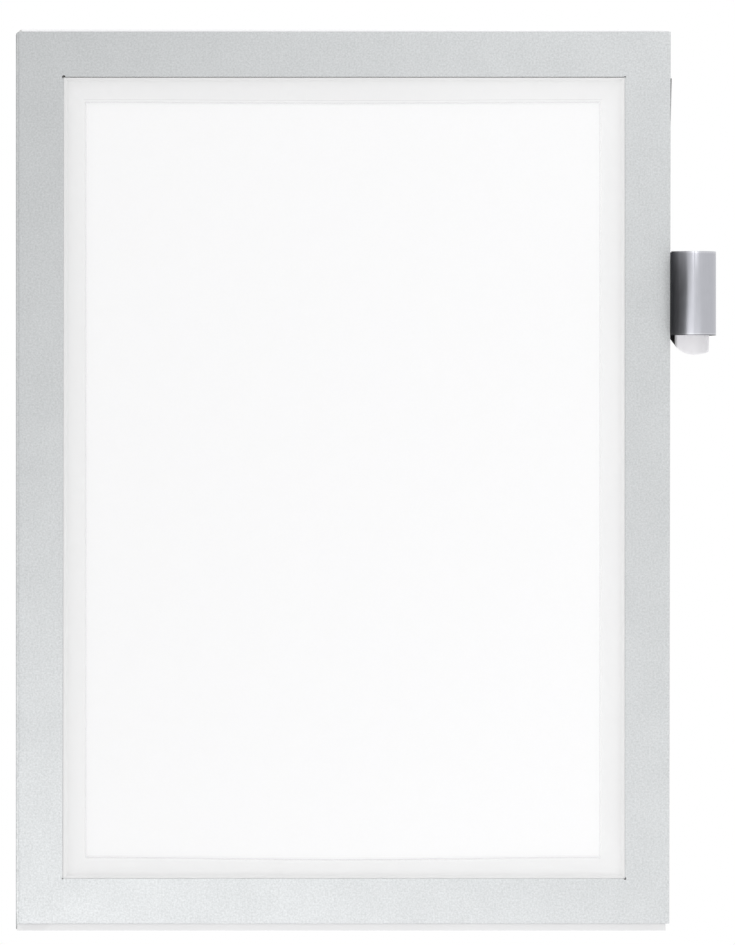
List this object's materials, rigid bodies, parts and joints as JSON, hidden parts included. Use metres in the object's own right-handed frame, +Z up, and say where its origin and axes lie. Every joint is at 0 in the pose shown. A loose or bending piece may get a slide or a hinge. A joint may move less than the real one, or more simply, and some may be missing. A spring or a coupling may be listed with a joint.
{
  "type": "magnetic document frame",
  "caption": "Flat self-adhesive magnetic frame for an A4 sheet: a silver border that folds open on a film hinge, a clear margin film with a writing cut-out, and a rolled steel pen sleeve.",
  "frame": {"origin": "middle of the frame's outline, on the plane of the wall that the adhesive strips stick to", "axes": "+Z up along the frame's long side, +Y into the wall, +X to the right as seen from the front, so the front faces -Y"},
  "size_m": [0.2522, 0.0163, 0.325],
  "materials": {
    "silver_film": "satin metallic silver film with a fine grain",
    "white_plastic": "smooth white sheet",
    "magnetic_rubber": "matt dark calendered strip",
    "foam_tape": "off-white double-sided foam tape",
    "black_foam": "matt black double-sided foam",
    "paper": "uncoated white office paper",
    "clear_film": "clear, slightly hazy",
    "spring_steel": "satin rolled sheet",
    "liner_plastic": "white, smooth"
  },
  "bodies": {
    "rear_leaf": {"adhesive_strip_top": "foam_tape", "adhesive_strip_bottom": "foam_tape", "adhesive_strip_left": "foam_tape", "adhesive_strip_right_upper": "foam_tape", "adhesive_strip_right_lower": "foam_tape", "back_panel": "white_plastic", "rear_magnet_top": "magnetic_rubber", "rear_magnet_bottom": "magnetic_rubber", "rear_magnet_left": "magnetic_rubber", "rear_magnet_right": "magnetic_rubber", "backing_board": "white_plastic", "rear_border": "silver_film", "hinge_leaf_rear": "silver_film", "pen_sleeve": "spring_steel", "pen_sleeve_pad": "black_foam", "pen_liner": "liner_plastic"},
    "front_leaf": {"front_magnet_top": "magnetic_rubber", "front_magnet_bottom": "magnetic_rubber", "front_magnet_left": "magnetic_rubber", "front_magnet_right": "magnetic_rubber", "window_film": "clear_film", "front_border": "silver_film", "hinge_leaf_front": "silver_film"},
    "document": {"document_sheet": "paper"}
  },
  "joints": [
    {"name": "front_fold", "type": "hinge", "parent": "rear_leaf", "child": "front_leaf", "pos_m": [-0.118, -0.00255, 0], "axis": [0, 0, -1], "range_deg": [0, 175]},
    {"name": "sheet_slide", "type": "slide", "parent": "rear_leaf", "child": "document", "axis": [0, 0, 1], "range_m": [0, 0.29]}
  ]
}
